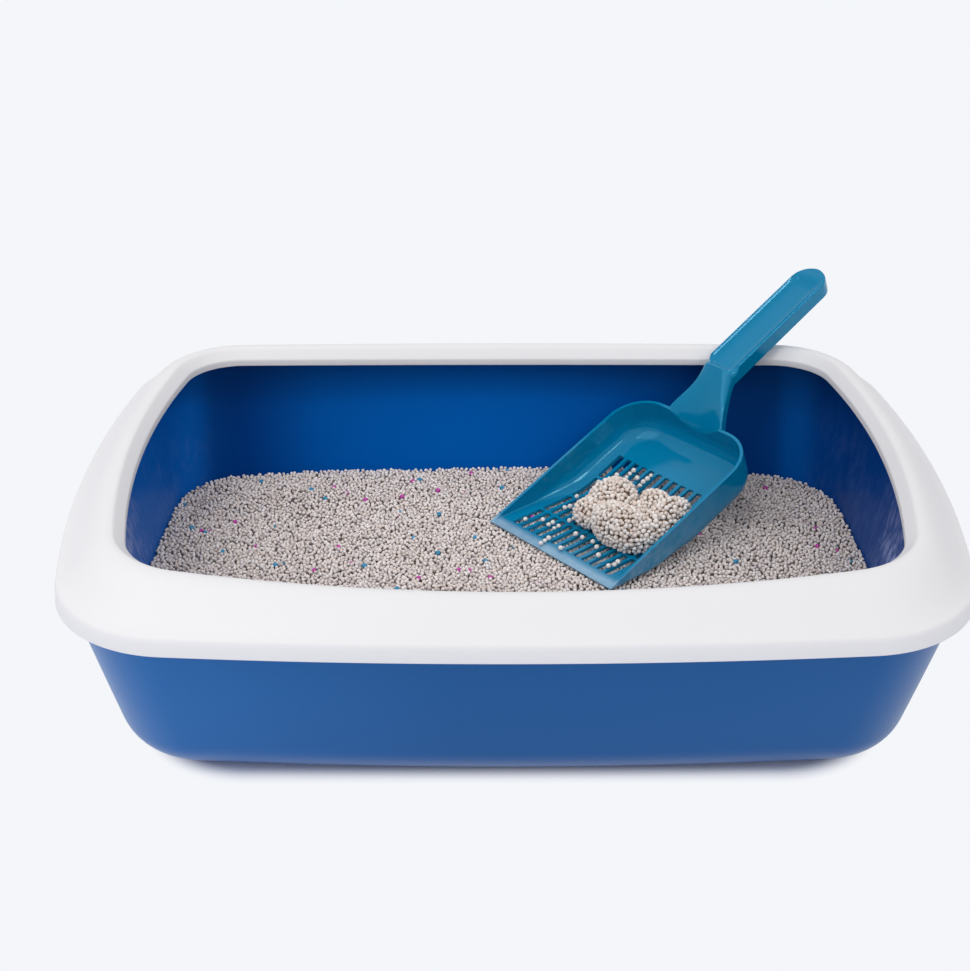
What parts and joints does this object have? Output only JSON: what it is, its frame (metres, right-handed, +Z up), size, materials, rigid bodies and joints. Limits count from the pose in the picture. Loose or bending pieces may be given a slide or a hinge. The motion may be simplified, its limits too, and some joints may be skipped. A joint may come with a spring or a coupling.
{
  "type": "cat litter tray",
  "caption": "Open cat litter tray with a lift-off guard rim, a bed of ball litter and a slotted scoop that rests in it.",
  "frame": {"origin": "middle of the flat underside of the tray, on the surface it stands on", "axes": "+X along the tray to the right, +Y across the tray from the front to the back, +Z up"},
  "size_m": [0.4998, 0.3723, 0.181],
  "materials": {
    "tray_plastic": "smooth moulded blue plastic, satin outside and glossier inside",
    "rim_plastic": "matt white moulded plastic",
    "litter": "light grey clay granules with a few magenta and blue ones",
    "scoop_plastic": "glossy teal plastic that lets some light through"
  },
  "bodies": {
    "tray": {"tray": "tray_plastic", "litter": "litter"},
    "rim": {"rim": "rim_plastic"},
    "scoop": {"scoop": "scoop_plastic", "litter_clump": "litter", "loose_granules": "litter"}
  },
  "joints": [
    {"name": "rim_lift", "type": "slide", "parent": "tray", "child": "rim", "axis": [0, 0, 1], "range_m": [0, 0.12]},
    {"name": "scoop_lift", "type": "slide", "parent": "rim", "child": "scoop", "axis": [0, 0, 1], "range_m": [0, 0.2]}
  ]
}
